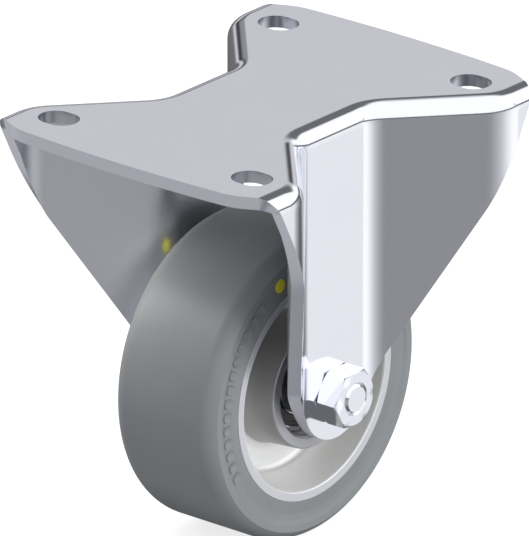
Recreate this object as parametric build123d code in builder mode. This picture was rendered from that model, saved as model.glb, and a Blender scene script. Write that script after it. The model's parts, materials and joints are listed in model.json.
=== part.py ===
from build123d import *
import os
from math import asin, atan2, cos, hypot, pi, radians, sin, tan

# Fixed caster: a one-piece pressed-steel bracket, a bolted axle and a rubber-tyred
# aluminium wheel that runs on two ball bearings.
# The origin is the centre of the plate's top face and +Z is up. X is the axle's
# direction, with the nut on +X, and Y is the rolling direction. Sizes are in mm.

os.makedirs("parts", exist_ok=True)

# Overall sizes
total_height = 140.0
plate_length = 138.4
plate_width = 112.6

# Pressed sheet
sheet = 4.0
bend_inner_radius = 2.0
leg_gap = 48.6
waist_fold_y = 17.2
wing_angle = 42.0
waist_fold_radius = 12.0
flange_fold_radius = 17.0
leg_edge_setback = 6.9
leg_foot_radius = 15.0
corner_run = 7.0
corner_radius = 20.0

# Mounting slots
slot_spacing_x = 77.5
slot_spacing_y = 105.0
slot_width = 11.0
slot_length = 13.5

# Wheel
wheel_diameter = 100.0
wheel_width = 40.0
shoulder_radius = 5.0
sidewall_inner_margin = 1.8
sidewall_outer_margin = 0.4
sidewall_depth = 0.5
rim_diameter = 73.5
rim_band = 2.95
rim_key_depth = 1.5
rim_key_width = 22.0
dish_draft = 10.0
web_thickness = 8.0
web_fillet = 3.5
hub_diameter = 40.4
hub_draft = 4.0
hub_chamfer = 0.5
bore_chamfer = 0.4
bearing_shoulder = 2.0

# Marker dots on the sidewalls
dot_diameter = 4.5
dot_thickness = 1.0
dot_proud = 0.25
dot_angle = 113.0

# Ball bearings
bearing_bore = 15.0
bearing_diameter = 32.0
bearing_width = 9.0
bearing_recess = 5.5
ball_diameter = 4.762
ball_count = 9
ring_shoulder_height = 0.95
running_gap = 0.1
ring_chamfer = 0.4
seal_thickness = 0.8
seal_inset = 0.2
seal_seat_depth = 0.9
seal_lip_gap = 0.3
cage_band = 2.0
cage_spine = 0.55
cage_finger_reach = 1.2

# Axle set
bolt_diameter = 10.0
bolt_hole_gap = 0.2
tube_bore_gap = 0.4
hex_across_flats = 17.0
nut_height = 8.0
head_height = 6.4
bolt_end_past_nut = 0.5
bolt_end_chamfer = 1.0
hex_chamfer_angle = 30.0
spacer_wall = 2.5

# Worked-out places
axle_drop = total_height - wheel_diameter / 2
bend_outer_radius = sheet + bend_inner_radius
leg_outer_x = leg_gap / 2 + sheet
flange_x = plate_width / 2
flange_fold_y = waist_fold_y + (flange_x - leg_outer_x) / tan(radians(wing_angle))
half_length = plate_length / 2
half_width = wheel_width / 2
wheel_radius = wheel_diameter / 2
rim_radius = rim_diameter / 2
hub_radius = hub_diameter / 2
bearing_radius = bearing_diameter / 2
bearing_outer_x = half_width - bearing_recess
bearing_inner_x = bearing_outer_x - bearing_width
tube_radius = bearing_bore / 2
spacer_radius = tube_radius + spacer_wall

axle_axis = Axis((0, 0, -axle_drop), (1, 0, 0))
wheel_plane = Plane(origin=(0, 0, -axle_drop), x_dir=(1, 0, 0), z_dir=(0, -1, 0))


def across_axle(x):
    """Plane square to the axle at distance x, with its own x along +Y and its y up."""
    return Plane(origin=(x, 0, -axle_drop), x_dir=(0, 1, 0), z_dir=(1, 0, 0))


# The leg's edge is the line from its foot radius up to the plate's edge. leg_lean is
# its angle from upright, and leg_edge_y gives how far out it is at a depth.
leg_top_y = half_length - leg_edge_setback
leg_lean = atan2(leg_top_y, axle_drop) - asin(leg_foot_radius / hypot(leg_top_y, axle_drop))


def leg_edge_y(depth):
    """Distance of the leg's edge from the middle, at a depth under the plate."""
    return leg_top_y - depth * tan(leg_lean)


# Outer skin of the bracket: its plan outline goes in at the waist, opens out along
# the wings and ends in the flanges, and its top edges are bent over.
plug_depth = axle_drop + 2 * leg_foot_radius
with BuildPart() as bracket_plug:
    with BuildSketch(Plane.XY.offset(-plug_depth)):
        with BuildLine():
            FilletPolyline(
                (flange_x, -plate_length),
                (flange_x, -flange_fold_y),
                (leg_outer_x, -waist_fold_y),
                (leg_outer_x, waist_fold_y),
                (flange_x, flange_fold_y),
                (flange_x, plate_length),
                radius=[flange_fold_radius, waist_fold_radius, waist_fold_radius, flange_fold_radius],
            )
            mirror(about=Plane.YZ)
            Line((-flange_x, plate_length), (flange_x, plate_length))
            Line((-flange_x, -plate_length), (flange_x, -plate_length))
        make_face()
    extrude(amount=plug_depth)
    plug_ends = bracket_plug.faces().sort_by(Axis.Y)
    end_edges = plug_ends[0].edges() + plug_ends[-1].edges()
    top_edges = bracket_plug.faces().sort_by(Axis.Z)[-1].edges()
    fillet([edge for edge in top_edges if edge not in end_edges], radius=bend_outer_radius)

# What the blanking die leaves of that skin: the plate with its bowed ends, whose
# corners run on round the bend, and below it the leaning legs with their round feet.
bend_end_y = leg_edge_y(bend_outer_radius)
bend_start_x = flange_x - bend_outer_radius
bend_start_y = bend_end_y + bend_outer_radius * pi / 2 * tan(leg_lean)
corner_x = bend_start_x - corner_run
corner_y = bend_start_y + corner_run * tan(leg_lean)
foot_y = leg_foot_radius * cos(leg_lean)
foot_z = -axle_drop - leg_foot_radius * sin(leg_lean)
bend_edge_steps = 6
bend_turns = [pi / 2 * step / bend_edge_steps for step in range(bend_edge_steps + 1)]


def bend_edge_point(side, turn):
    """Place in plan of the blank's edge, at an angle round the bend of one side."""
    return (
        side * (bend_start_x + bend_outer_radius * sin(turn)),
        bend_start_y - bend_outer_radius * turn * tan(leg_lean),
    )


with BuildPart() as blank_outline:
    with BuildSketch(Plane.XY.offset(-bend_outer_radius)):
        with BuildLine() as plate_edge:
            ThreePointArc((-corner_x, corner_y), (0, half_length), (corner_x, corner_y))
            for side in (1, -1):
                Line((side * corner_x, corner_y), (side * bend_start_x, bend_start_y))
            corners = [v for v in plate_edge.vertices() if abs(abs(v.X) - corner_x) < 0.001]
            fillet(corners, radius=corner_radius)
            for side in (1, -1):
                Spline(
                    [bend_edge_point(side, turn) for turn in bend_turns],
                    tangents=[(side * cos(leg_lean), -sin(leg_lean)), (0, -1)],
                )
                Line((side * flange_x, bend_end_y), (side * flange_x, 0))
            mirror(about=Plane.XZ)
        make_face()
    extrude(amount=bend_outer_radius)
    with BuildSketch(Plane.YZ):
        with BuildLine():
            Line((-bend_end_y, -bend_outer_radius), (bend_end_y, -bend_outer_radius))
            Line((bend_end_y, -bend_outer_radius), (foot_y, foot_z))
            ThreePointArc((foot_y, foot_z), (0, -axle_drop - leg_foot_radius), (-foot_y, foot_z))
            Line((-foot_y, foot_z), (-bend_end_y, -bend_outer_radius))
        make_face()
    extrude(amount=flange_x, both=True)

skin_faces = bracket_plug.faces().sort_by(Axis.Y)[1:-1].sort_by(Axis.Z)[1:]
kept_faces = Shell(skin_faces).intersect(blank_outline.part).faces()

# The bracket is that skin thickened inwards, so its cut edges stand square to the
# sheet everywhere, as on a stamping. The slots and the axle's holes are punched.
with BuildPart() as bracket:
    add(Solid.thicken(Shell(kept_faces), -sheet))
    with BuildSketch(Plane.XY):
        with GridLocations(slot_spacing_x, slot_spacing_y, 2, 2):
            SlotOverall(slot_length, slot_width)
    extrude(amount=-sheet, mode=Mode.SUBTRACT)
    with BuildSketch(across_axle(0)):
        Circle((bolt_diameter + bolt_hole_gap) / 2)
    extrude(amount=leg_outer_x, both=True, mode=Mode.SUBTRACT)
bracket.part.label = "bracket"
export_step(bracket.part, "parts/bracket.step")

# Axle bolt: a hex head on the -X leg and a plain shank out past the nut
nut_outer_x = leg_outer_x + nut_height
bolt_end_x = nut_outer_x + bolt_end_past_nut
head_outer_x = -leg_outer_x - head_height
hex_corner_radius = hex_across_flats / 2 / cos(pi / 6)
hex_chamfer = (hex_corner_radius - hex_across_flats / 2) * tan(radians(hex_chamfer_angle))


def corner_cutter(outer_x, inner_x):
    """Profile that takes the corners off a hexagon towards its face at outer_x."""
    step = hex_chamfer if outer_x > inner_x else -hex_chamfer
    return Polyline(
        (outer_x, hex_across_flats / 2),
        (outer_x, 2 * hex_corner_radius),
        (outer_x - 2 * step, 2 * hex_corner_radius),
        (outer_x - step, hex_corner_radius),
        close=True,
    )


with BuildPart() as axle_bolt:
    with BuildSketch(across_axle(-leg_outer_x)):
        RegularPolygon(hex_corner_radius, 6)
    extrude(amount=-head_height)
    with BuildSketch(wheel_plane):
        with BuildLine():
            corner_cutter(head_outer_x, -leg_outer_x)
        make_face()
    revolve(axis=axle_axis, mode=Mode.SUBTRACT)
    with BuildSketch(across_axle(-leg_outer_x)):
        Circle(bolt_diameter / 2)
    extrude(amount=leg_outer_x + bolt_end_x)
    chamfer(axle_bolt.edges().sort_by(Axis.X)[-1], length=bolt_end_chamfer)
axle_bolt.part.label = "axle_bolt"
export_step(axle_bolt.part, "parts/axle_bolt.step")

# Nut: chamfered on both faces, with a bore that takes the shank and lies on its crests
with BuildPart() as axle_nut:
    with BuildSketch(across_axle(leg_outer_x)):
        RegularPolygon(hex_corner_radius, 6)
        Circle(bolt_diameter / 2, mode=Mode.SUBTRACT)
    extrude(amount=nut_height)
    with BuildSketch(wheel_plane):
        with BuildLine():
            corner_cutter(nut_outer_x, leg_outer_x)
        make_face()
        with BuildLine():
            corner_cutter(leg_outer_x, nut_outer_x)
        make_face()
    revolve(axis=axle_axis, mode=Mode.SUBTRACT)
    mouth_edges = axle_nut.edges().filter_by(GeomType.CIRCLE).sort_by(SortBy.RADIUS)[:2]
    chamfer(mouth_edges, length=bore_chamfer)
axle_nut.part.label = "axle_nut"
export_step(axle_nut.part, "parts/axle_nut.step")

# Axle tube between the legs, which the bolt clamps and the inner rings sit on
with BuildPart() as axle_tube:
    with BuildSketch(across_axle(0)):
        Circle(tube_radius)
        Circle((bolt_diameter + tube_bore_gap) / 2, mode=Mode.SUBTRACT)
    extrude(amount=leg_gap / 2, both=True)
axle_tube.part.label = "axle_tube"
export_step(axle_tube.part, "parts/axle_tube.step")

# Spacers on the tube: one between the inner rings, and one from each to its leg
for spacer_name, start_x, end_x in (
    ("bearing_spacer", -bearing_inner_x, bearing_inner_x),
    ("right_side_spacer", bearing_outer_x, leg_gap / 2),
    ("left_side_spacer", -leg_gap / 2, -bearing_outer_x),
):
    with BuildPart() as spacer:
        with BuildSketch(across_axle(start_x)):
            Circle(spacer_radius)
            Circle(tube_radius, mode=Mode.SUBTRACT)
        extrude(amount=end_x - start_x)
        outer_edges = spacer.edges().filter_by(GeomType.CIRCLE).sort_by(SortBy.RADIUS)[-2:]
        chamfer(outer_edges, length=ring_chamfer)
    spacer.part.label = spacer_name
    export_step(spacer.part, "parts/" + spacer_name + ".step")

# Wheel centre: a turned aluminium casting. Half its section is drawn and mirrored:
# land, bearing seat, hub, web, dish, rim band and the groove that keys the tyre.
land_radius = bearing_radius - bearing_shoulder
hub_root_radius = hub_radius + (half_width - web_thickness / 2) * tan(radians(hub_draft))
dish_mouth_radius = rim_radius - rim_band
dish_root_radius = dish_mouth_radius - (half_width - web_thickness / 2) * tan(radians(dish_draft))
key_radius = rim_radius - rim_key_depth
key_x = rim_key_width / 2
with BuildPart() as wheel_centre:
    with BuildSketch(wheel_plane):
        with BuildLine():
            Polyline(
                (0, land_radius),
                (bearing_inner_x, land_radius),
                (bearing_inner_x, bearing_radius),
                (half_width - bore_chamfer, bearing_radius),
                (half_width, bearing_radius + bore_chamfer),
                (half_width, hub_radius - hub_chamfer),
                (half_width - hub_chamfer, hub_radius),
            )
            FilletPolyline(
                (half_width - hub_chamfer, hub_radius),
                (web_thickness / 2, hub_root_radius),
                (web_thickness / 2, dish_root_radius),
                (half_width, dish_mouth_radius),
                radius=web_fillet,
            )
            Polyline(
                (half_width, dish_mouth_radius),
                (half_width, rim_radius),
                (key_x + rim_key_depth, rim_radius),
                (key_x, key_radius),
                (0, key_radius),
            )
            mirror(about=Plane.YZ)
        make_face()
    revolve(axis=axle_axis)
wheel_centre.part.label = "wheel_centre"
export_step(wheel_centre.part, "parts/wheel_centre.step")

# Tyre: moulded on to the rim and its key, with rounded shoulders and a shallow band
# sunk into each sidewall. Each side has a pocket for its marker dot.
band_inner = rim_radius + sidewall_inner_margin
band_outer = wheel_radius - shoulder_radius - sidewall_outer_margin
band_x = half_width - sidewall_depth
dot_radius_place = (band_inner + band_outer) / 2
dot_centre = (dot_radius_place * cos(radians(dot_angle)), dot_radius_place * sin(radians(dot_angle)))
dot_inner_x = band_x + dot_proud - dot_thickness
with BuildPart() as tyre:
    with BuildSketch(wheel_plane) as tyre_section:
        with BuildLine():
            Polyline(
                (0, key_radius),
                (key_x, key_radius),
                (key_x + rim_key_depth, rim_radius),
                (half_width, rim_radius),
                (half_width, band_inner),
                (band_x, band_inner + sidewall_depth),
                (band_x, band_outer - sidewall_depth),
                (half_width, band_outer),
                (half_width, wheel_radius),
                (0, wheel_radius),
            )
            mirror(about=Plane.YZ)
        make_face()
        tread_corners = tyre_section.vertices().group_by(Axis.Y)[-1].sort_by(Axis.X)
        fillet([tread_corners[0], tread_corners[-1]], radius=shoulder_radius)
    revolve(axis=axle_axis)
    for side in (1, -1):
        with BuildSketch(across_axle(side * dot_inner_x)):
            with Locations(dot_centre):
                Circle(dot_diameter / 2)
        extrude(amount=side * dot_thickness, mode=Mode.SUBTRACT)
tyre.part.label = "tyre"
export_step(tyre.part, "parts/tyre.step")

# Ball bearing sections, drawn about the bearing's own middle. The rings have a deep
# groove each, and the outer ring has a seat for a seal in either face.
pitch_radius = (tube_radius + bearing_radius) / 2
ball_radius = ball_diameter / 2
groove_radius = ball_radius + running_gap
inner_shoulder = pitch_radius - groove_radius + ring_shoulder_height
outer_shoulder = pitch_radius + groove_radius - ring_shoulder_height
half_bearing = bearing_width / 2
seal_inner_x = half_bearing - seal_inset - seal_thickness
seal_radius = outer_shoulder + seal_seat_depth
cage_inner = pitch_radius - cage_band / 2
cage_outer = pitch_radius + cage_band / 2
cage_back_x = ball_radius + running_gap + cage_spine

# Both bearings are alike. The left one is turned round, so that the open side of its
# cage also faces the middle of the wheel, where the right one's does.
for side_name, side in (("right", 1), ("left", -1)):
    middle_x = side * (bearing_inner_x + half_bearing)
    bearing_plane = Plane(origin=(middle_x, 0, -axle_drop), x_dir=(side, 0, 0), z_dir=(0, -side, 0))
    ball_plane = Plane(origin=(middle_x, 0, -axle_drop), x_dir=(0, 1, 0), z_dir=(side, 0, 0))

    with BuildPart() as inner_ring:
        with BuildSketch(bearing_plane) as ring_section:
            with Locations((0, (tube_radius + inner_shoulder) / 2)):
                Rectangle(bearing_width, inner_shoulder - tube_radius)
            chamfer(ring_section.vertices().group_by(Axis.Y)[0], length=ring_chamfer)
            with Locations((0, pitch_radius)):
                Circle(groove_radius, mode=Mode.SUBTRACT)
        revolve(axis=axle_axis)
    inner_ring.part.label = side_name + "_bearing_inner_ring"
    export_step(inner_ring.part, "parts/" + inner_ring.part.label + ".step")

    with BuildPart() as outer_ring:
        with BuildSketch(bearing_plane) as ring_section:
            with Locations((0, (outer_shoulder + bearing_radius) / 2)):
                Rectangle(bearing_width, bearing_radius - outer_shoulder)
            chamfer(ring_section.vertices().group_by(Axis.Y)[-1], length=ring_chamfer)
            with Locations((0, pitch_radius)):
                Circle(groove_radius, mode=Mode.SUBTRACT)
            seat_middle_x = (seal_inner_x + half_bearing) / 2
            with Locations((seat_middle_x, outer_shoulder), (-seat_middle_x, outer_shoulder)):
                Rectangle(half_bearing - seal_inner_x, 2 * seal_seat_depth, mode=Mode.SUBTRACT)
        revolve(axis=axle_axis)
    outer_ring.part.label = side_name + "_bearing_outer_ring"
    export_step(outer_ring.part, "parts/" + outer_ring.part.label + ".step")

    with BuildPart() as balls:
        with Locations(ball_plane):
            with PolarLocations(pitch_radius, ball_count):
                Sphere(ball_radius)
    balls.part.label = side_name + "_bearing_balls"
    export_step(balls.part, "parts/" + balls.part.label + ".step")

    with BuildPart() as cage:
        with BuildSketch(ball_plane.offset(-cage_finger_reach)):
            Circle(cage_outer)
            Circle(cage_inner, mode=Mode.SUBTRACT)
        extrude(amount=cage_finger_reach + cage_back_x)
        with Locations(ball_plane):
            with PolarLocations(pitch_radius, ball_count):
                Cylinder(groove_radius, 2 * cage_band, rotation=(0, 90, 0), mode=Mode.SUBTRACT)
    cage.part.label = side_name + "_bearing_cage"
    export_step(cage.part, "parts/" + cage.part.label + ".step")

    for face_name, face in (("outer", 1), ("inner", -1)):
        with BuildPart() as seal:
            with BuildSketch(ball_plane.offset(face * seal_inner_x)):
                Circle(seal_radius)
                Circle(inner_shoulder + seal_lip_gap, mode=Mode.SUBTRACT)
            extrude(amount=face * seal_thickness)
        seal.part.label = side_name + "_bearing_" + face_name + "_seal"
        export_step(seal.part, "parts/" + seal.part.label + ".step")

    with BuildPart() as marker_dot:
        with BuildSketch(across_axle(side * dot_inner_x)):
            with Locations(dot_centre):
                Circle(dot_diameter / 2)
        extrude(amount=side * dot_thickness)
    marker_dot.part.label = side_name + "_marker_dot"
    export_step(marker_dot.part, "parts/" + marker_dot.part.label + ".step")
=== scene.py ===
import json
import logging
import math
from collections.abc import Callable, Iterator, Sequence
from contextlib import contextmanager
from dataclasses import dataclass, field
from enum import Enum
from typing import ClassVar

import bmesh
import bpy
from mathutils import Matrix, Vector


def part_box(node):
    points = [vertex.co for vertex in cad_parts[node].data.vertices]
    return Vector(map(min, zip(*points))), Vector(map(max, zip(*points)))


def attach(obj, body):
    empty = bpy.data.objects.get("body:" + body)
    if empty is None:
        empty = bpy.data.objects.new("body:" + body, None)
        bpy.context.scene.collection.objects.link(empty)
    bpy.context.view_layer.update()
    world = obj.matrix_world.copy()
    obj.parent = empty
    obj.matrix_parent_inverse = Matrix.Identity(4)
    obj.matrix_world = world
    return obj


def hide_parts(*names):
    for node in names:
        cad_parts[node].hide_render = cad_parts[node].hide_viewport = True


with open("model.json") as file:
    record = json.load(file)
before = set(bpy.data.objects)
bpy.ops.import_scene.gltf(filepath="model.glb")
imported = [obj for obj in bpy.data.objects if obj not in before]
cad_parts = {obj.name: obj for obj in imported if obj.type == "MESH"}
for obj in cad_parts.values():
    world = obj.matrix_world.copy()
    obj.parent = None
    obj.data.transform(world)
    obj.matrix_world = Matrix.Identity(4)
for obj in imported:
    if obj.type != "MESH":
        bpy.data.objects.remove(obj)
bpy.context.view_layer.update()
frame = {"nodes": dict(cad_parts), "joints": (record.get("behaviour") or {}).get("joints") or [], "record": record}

MM = 0.001
# Points closer than this, in metres, are welded into one
WELD = 0.002 * MM
# Places within this many millimetres count as the same
NEAR = 0.001
AXLE = Vector((0.0, 0.0, frame["joints"][0]["pos_m"][2]))
log = logging.getLogger("caster")


def place(x: float, y: float, z: float) -> Vector:
    """Gives a point in metres from its millimetres."""
    return Vector((x, y, z)) * MM


def round_axle(x: float, radius: float, turn: float = 0.0) -> Vector:
    """Gives a point by its place along the axle, its radius in millimetres and its turn in degrees."""
    angle = math.radians(turn)
    return AXLE + place(x, radius * math.sin(angle), radius * math.cos(angle))


def rounded(corners: Sequence[tuple], closed: bool = False, step: float = 7.5) -> list[tuple[float, float]]:
    """Lays out a flat line whose corners are rounded.

    Args:
        corners: Each (a, b), or (a, b, radius) where the line turns on an arc.
        closed: Whether the last corner runs on into the first.
        step: Degrees of turn in each piece of an arc, at most.

    Returns:
        The line's points, in order.
    """
    line = []
    for index, (a, b, *radius) in enumerate(corners):
        here = Vector((a, b))
        open_end = not closed and index in (0, len(corners) - 1)
        if open_end or not radius:
            line.append((a, b))
            continue
        back = (Vector(corners[index - 1][:2]) - here).normalized()
        on = (Vector(corners[(index + 1) % len(corners)][:2]) - here).normalized()
        half = back.angle(on) / 2
        centre = here + (back + on).normalized() * radius[0] / math.sin(half)
        start = here + back * radius[0] / math.tan(half) - centre
        end = here + on * radius[0] / math.tan(half) - centre
        turn = start.angle_signed(end)
        pieces = max(2, math.ceil(abs(math.degrees(turn)) / step))
        for piece in range(pieces + 1):
            spoke = Matrix.Rotation(-turn * piece / pieces, 2) @ start
            line.append(tuple(centre + spoke))
    return line


class Side(Enum):
    """The wheel's two sides, by the sign of X."""

    RIGHT = 1
    LEFT = -1


class Body(Enum):
    """The moving bodies that pieces ride on."""

    BRACKET = "bracket"
    WHEEL = "wheel"


class NodeChain:
    """The node tree of one material or world, with short calls for what it is made of."""

    def __init__(self, tree: bpy.types.NodeTree) -> None:
        """Empties the tree.

        Args:
            tree: The node tree to build in.
        """
        self.tree = tree
        tree.nodes.clear()

    def add(self, kind: str, **settings: object) -> bpy.types.Node:
        """Adds a node.

        Args:
            kind: The node's type name.
            settings: Attributes to set on it.

        Returns:
            The new node.
        """
        node = self.tree.nodes.new(kind)
        for name, value in settings.items():
            setattr(node, name, value)
        return node

    def link(self, source: bpy.types.NodeSocket, target: bpy.types.NodeSocket) -> None:
        """Joins two sockets."""
        self.tree.links.new(source, target)

    def math(self, operation: str, *values: object) -> bpy.types.NodeSocket:
        """Adds a Math node.

        Args:
            operation: The Math node's operation.
            values: Numbers, or sockets to link, in input order.

        Returns:
            Its output.
        """
        node = self.add("ShaderNodeMath", operation=operation)
        for socket, value in zip(node.inputs, values):
            if isinstance(value, bpy.types.NodeSocket):
                self.link(value, socket)
            else:
                socket.default_value = value
        return node.outputs[0]

    def ramp(self, source: bpy.types.NodeSocket, stops: dict[float, tuple]) -> bpy.types.NodeSocket:
        """Adds a Color Ramp.

        Args:
            source: The value that it reads.
            stops: Colour by position, in rising order.

        Returns:
            Its colour output.
        """
        node = self.add("ShaderNodeValToRGB")
        elements = node.color_ramp.elements
        while len(elements) < len(stops):
            elements.new(1.0)
        for element, (position, colour) in zip(elements, stops.items()):
            element.position = position
            element.color = (*colour, 1.0)
        self.link(source, node.inputs[0])
        return node.outputs[0]

    def remap(self, source: bpy.types.NodeSocket, low: float, high: float,
              to_low: float = 0.0, to_high: float = 1.0) -> bpy.types.NodeSocket:
        """Adds a clamped Map Range node.

        Args:
            source: The value that it reads.
            low: The value that becomes to_low.
            high: The value that becomes to_high.
            to_low: What low becomes.
            to_high: What high becomes.

        Returns:
            Its output.
        """
        node = self.add("ShaderNodeMapRange")
        self.link(source, node.inputs["Value"])
        for name, value in (("From Min", low), ("From Max", high), ("To Min", to_low), ("To Max", to_high)):
            node.inputs[name].default_value = value
        return node.outputs[0]

    def mix(self, share: bpy.types.NodeSocket, low: object, high: object) -> bpy.types.NodeSocket:
        """Adds a colour Mix node.

        Args:
            share: How much of high there is, from 0 to 1.
            low: A colour, or a socket to link.
            high: A colour, or a socket to link.

        Returns:
            Its colour output.
        """
        node = self.add("ShaderNodeMix", data_type="RGBA")
        self.link(share, node.inputs["Factor"])
        for socket, value in ((node.inputs[6], low), (node.inputs[7], high)):
            if isinstance(value, bpy.types.NodeSocket):
                self.link(value, socket)
            else:
                socket.default_value = (*value, 1.0)
        return node.outputs[2]

    def noise(self, where: bpy.types.NodeSocket, scale: float, layers: float) -> bpy.types.NodeSocket:
        """Adds a Noise Texture.

        Args:
            where: The coordinates that it reads.
            scale: Features per metre.
            layers: How many finer layers lie on the first.

        Returns:
            Its value.
        """
        node = self.add("ShaderNodeTexNoise")
        self.link(where, node.inputs["Vector"])
        node.inputs["Scale"].default_value = scale
        node.inputs["Detail"].default_value = layers
        return node.outputs["Fac"]

    def split(self, source: bpy.types.NodeSocket) -> bpy.types.Node:
        """Adds a node that takes coordinates apart.

        Args:
            source: The coordinates.

        Returns:
            The node, with outputs X, Y and Z.
        """
        node = self.add("ShaderNodeSeparateXYZ")
        self.link(source, node.inputs[0])
        return node

    def mark(self, name: str) -> bpy.types.NodeSocket:
        """Reads an attribute that the mesh carries."""
        return self.add("ShaderNodeAttribute", attribute_name=name).outputs["Fac"]

    def coloured(self, kind: str, colour: tuple[float, float, float]) -> bpy.types.Node:
        """Adds a shader of one colour.

        Args:
            kind: The shader's type name.
            colour: Its colour.

        Returns:
            The new node.
        """
        node = self.add(kind)
        node.inputs["Color"].default_value = (*colour, 1.0)
        return node


@dataclass(frozen=True)
class Grain:
    """A fine relief: features per metre, their finer layers, its strength, and its depth in millimetres."""

    scale: float
    layers: float
    strength: float
    depth: float


@dataclass(frozen=True)
class Finish:
    """What every finish has: a name, a base colour, a roughness, how far both wander, and perhaps a grain."""

    name: str
    colour: tuple[float, float, float]
    second_colour: tuple[float, float, float]
    roughness: float
    roughness_spread: float
    metallic: float = 0.0
    grain: Grain | None = None
    cloud_scale: float = 45.0
    speck_scale: float = 1600.0
    noise_layers: float = 3.0
    noise_span: tuple[float, float] = (0.3, 0.7)

    def build(self) -> bpy.types.Material:
        """Makes the finish's material.

        Returns:
            The material, whose nodes read object coordinates.
        """
        material = bpy.data.materials.new(self.name)
        material.use_nodes = True
        chain = NodeChain(material.node_tree)
        shader = chain.add("ShaderNodeBsdfPrincipled")
        shader.inputs["Metallic"].default_value = self.metallic
        where = chain.add("ShaderNodeTexCoord").outputs["Object"]
        self.dress(chain, shader, where)
        chain.link(shader.outputs[0], chain.add("ShaderNodeOutputMaterial").inputs[0])
        return material

    def clouded(self, chain: NodeChain, where: bpy.types.NodeSocket) -> bpy.types.NodeSocket:
        """Gives a colour that wanders between the two colours."""
        cloud = chain.remap(chain.noise(where, self.cloud_scale, self.noise_layers), *self.noise_span)
        return chain.mix(cloud, self.colour, self.second_colour)

    def speckled(self, chain: NodeChain, where: bpy.types.NodeSocket) -> bpy.types.NodeSocket:
        """Gives a roughness that wanders by its spread."""
        low, high = self.roughness - self.roughness_spread, self.roughness + self.roughness_spread
        return chain.remap(chain.noise(where, self.speck_scale, self.noise_layers), *self.noise_span, low, high)

    def emboss(self, chain: NodeChain, shader: bpy.types.Node, height: bpy.types.NodeSocket) -> None:
        """Lets a height stand out on the surface by the grain's depth.

        Args:
            chain: The material's nodes.
            shader: The shader to dress.
            height: The height, from 0 to 1.
        """
        node = chain.add("ShaderNodeBump")
        node.inputs["Strength"].default_value = self.grain.strength
        node.inputs["Distance"].default_value = self.grain.depth * MM
        chain.link(height, node.inputs["Height"])
        chain.link(node.outputs[0], shader.inputs["Normal"])

    def dress(self, chain: NodeChain, shader: bpy.types.Node, where: bpy.types.NodeSocket) -> None:
        """Gives the shader its colour, roughness and grain.

        Args:
            chain: The material's nodes.
            shader: The shader to dress.
            where: Object coordinates.
        """
        chain.link(self.clouded(chain, where), shader.inputs["Base Color"])
        chain.link(self.speckled(chain, where), shader.inputs["Roughness"])
        if self.grain:
            self.emboss(chain, shader, chain.noise(where, self.grain.scale, self.grain.layers))


@dataclass(frozen=True)
class BrightZinc(Finish):
    """Bright blue-white zinc plating, with a duller skin where the sheet was sheared."""

    name: str = "bright_zinc"
    colour: tuple[float, float, float] = (0.89, 0.90, 0.955)
    second_colour: tuple[float, float, float] = (0.905, 0.915, 0.965)
    roughness: float = 0.11
    roughness_spread: float = 0.015
    metallic: float = 1.0
    grain: Grain = Grain(2200.0, 2.0, 0.04, 0.004)
    speck_scale: float = 1400.0
    grain_stretch: tuple[float, float, float] = (1.0, 0.12, 1.0)
    sheared_roughness: float = 0.3
    inner_roughness: float = 0.33
    # The inner skin's lighter colour below is painted light on the inner faces, not a different plating.
    inner_skin_painted_light_colour: tuple[float, float, float] = (0.92, 0.94, 0.99)
    sheared_colour: tuple[float, float, float] = (0.76, 0.76, 0.83)
    # The punched slot walls' darker colour below is painted shade inside the slots.
    punched_wall_shade_colour: tuple[float, float, float] = (0.56, 0.56, 0.61)

    def dress(self, chain: NodeChain, shader: bpy.types.Node, where: bpy.types.NodeSocket) -> None:
        """Adds the sheet's rolling grain, duller sheared edges, a duller inner skin lightened with painted light, and
        punched slot walls darkened with painted shade.

        Args:
            chain: The material's nodes.
            shader: The shader to dress.
            where: Object coordinates.
        """
        sheared, punched, inner = (chain.mark(name) for name in ("sheared", "punched", "inner"))
        # Lighter colour on the inner skin: painted light.
        skin = chain.mix(inner, self.clouded(chain, where), self.inner_skin_painted_light_colour)
        # Darker colour on the punched slot walls: painted shade.
        cut = chain.mix(punched, self.sheared_colour, self.punched_wall_shade_colour)
        chain.link(chain.mix(sheared, skin, cut), shader.inputs["Base Color"])
        dull = self.speckled(chain, where)
        dull = chain.math("MULTIPLY_ADD", sheared, self.sheared_roughness - self.roughness, dull)
        dull = chain.math("MULTIPLY_ADD", inner, self.inner_roughness - self.roughness, dull)
        chain.link(dull, shader.inputs["Roughness"])
        stretch = chain.add("ShaderNodeMapping")
        stretch.inputs["Scale"].default_value = self.grain_stretch
        chain.link(where, stretch.inputs["Vector"])
        self.emboss(chain, shader, chain.noise(stretch.outputs[0], self.grain.scale, self.grain.layers))


@dataclass(frozen=True)
class BearingSteel(Finish):
    """Ground bearing steel."""

    name: str = "bearing_steel"
    colour: tuple[float, float, float] = (0.62, 0.62, 0.64)
    second_colour: tuple[float, float, float] = (0.58, 0.58, 0.61)
    roughness: float = 0.16
    roughness_spread: float = 0.03
    metallic: float = 1.0


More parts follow.
